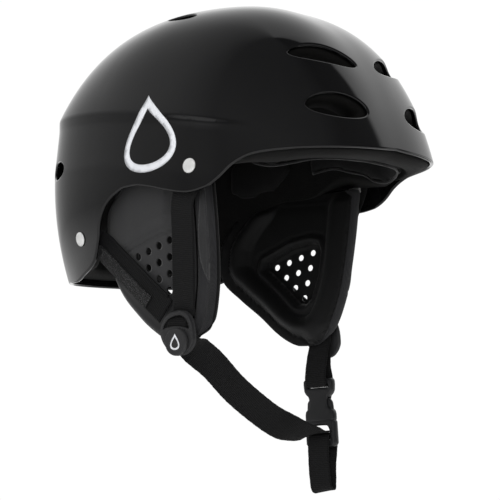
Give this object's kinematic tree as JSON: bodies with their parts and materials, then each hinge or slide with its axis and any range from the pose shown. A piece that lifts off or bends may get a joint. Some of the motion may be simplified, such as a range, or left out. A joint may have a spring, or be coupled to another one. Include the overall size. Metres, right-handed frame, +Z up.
{
  "type": "water sports helmet",
  "caption": "Open-face helmet with a hard vented shell and visor, foam liner and pads, hinged padded ear flaps, and a webbing chin strap with a side-release buckle.",
  "frame": {"origin": "centre of the head opening, midway between the two ear flaps and level with the ears", "axes": "+Z up to the crown, +X to the wearer's left, so -Y is the front of the helmet"},
  "size_m": [0.2138, 0.2912, 0.3604],
  "materials": {
    "gloss_shell": "high-gloss injection-moulded ABS, black",
    "foam": "matte closed-cell foam, black",
    "pad_fabric": "fine knit over soft foam, black",
    "moulded_fabric": "heat-moulded foam with a smooth fabric skin, black",
    "webbing": "woven polyester webbing, black",
    "buckle_plastic": "satin acetal, dark grey",
    "rivet_steel": "satin domed rivet"
  },
  "bodies": {
    "helmet": {"shell": "gloss_shell", "liner": "foam", "brow_pad": "pad_fabric", "side_pad_left": "pad_fabric", "side_pad_right": "pad_fabric", "rear_pad": "pad_fabric", "crown_pad": "pad_fabric", "front_rivet_left": "rivet_steel", "front_rivet_right": "rivet_steel", "rear_rivet_left": "rivet_steel", "rear_rivet_right": "rivet_steel", "front_washer_left": "rivet_steel", "front_washer_right": "rivet_steel", "rear_washer_left": "rivet_steel", "rear_washer_right": "rivet_steel", "front_strap_left": "webbing", "front_strap_right": "webbing", "rear_strap_left": "webbing", "rear_strap_right": "webbing", "chin_strap": "webbing", "stub_strap": "webbing", "buckle_female": "buckle_plastic"},
    "flap_left": {"ear_panel_left": "moulded_fabric", "ear_cushion_left": "pad_fabric", "ear_bolster_left": "pad_fabric", "divider_left": "buckle_plastic"},
    "flap_right": {"ear_panel_right": "moulded_fabric", "ear_cushion_right": "pad_fabric", "ear_bolster_right": "pad_fabric", "divider_right": "buckle_plastic"},
    "cap_left": {"divider_cap_left": "buckle_plastic"},
    "cap_right": {"divider_cap_right": "buckle_plastic"},
    "buckle_half": {"buckle_male": "buckle_plastic", "strap_tail": "webbing"},
    "prong_front": {"buckle_prong_front": "buckle_plastic"},
    "prong_rear": {"buckle_prong_rear": "buckle_plastic"}
  },
  "joints": [
    {"name": "flap_left_swing", "type": "hinge", "parent": "helmet", "child": "flap_left", "pos_m": [0.088, 0, 0.061], "axis": [0, -1, 0], "range_deg": [-6, 15], "stiffness_Nm_per_rad": 0.3, "deforming": ["front_strap_left", "rear_strap_left", "stub_strap"]},
    {"name": "flap_right_swing", "type": "hinge", "parent": "helmet", "child": "flap_right", "pos_m": [-0.088, 0, 0.061], "axis": [0, 1, 0], "range_deg": [-6, 15], "stiffness_Nm_per_rad": 0.3, "deforming": ["front_strap_right", "rear_strap_right", "chin_strap"]},
    {"name": "cap_left_lift", "type": "hinge", "parent": "flap_left", "child": "cap_left", "pos_m": [0.0892, -0.025, -0.0676], "axis": [0, 1, 0], "range_deg": [0, 80]},
    {"name": "cap_right_lift", "type": "hinge", "parent": "flap_right", "child": "cap_right", "pos_m": [-0.0892, -0.025, -0.0676], "axis": [0, -1, 0], "range_deg": [0, 80]},
    {"name": "buckle_release", "type": "slide", "parent": "helmet", "child": "buckle_half", "axis": [0, -0.0698, -0.9976], "range_m": [0, 0.024], "deforming": ["chin_strap"]},
    {"name": "prong_front_press", "type": "hinge", "parent": "buckle_half", "child": "prong_front", "pos_m": [0.075, -0.03813, -0.12005], "axis": [-1, 0, 0], "range_deg": [0, 6], "stiffness_Nm_per_rad": 0.05},
    {"name": "prong_rear_press", "type": "hinge", "parent": "buckle_half", "child": "prong_rear", "pos_m": [0.075, -0.02217, -0.12117], "axis": [1, 0, 0], "range_deg": [0, 6], "stiffness_Nm_per_rad": 0.05}
  ]
}
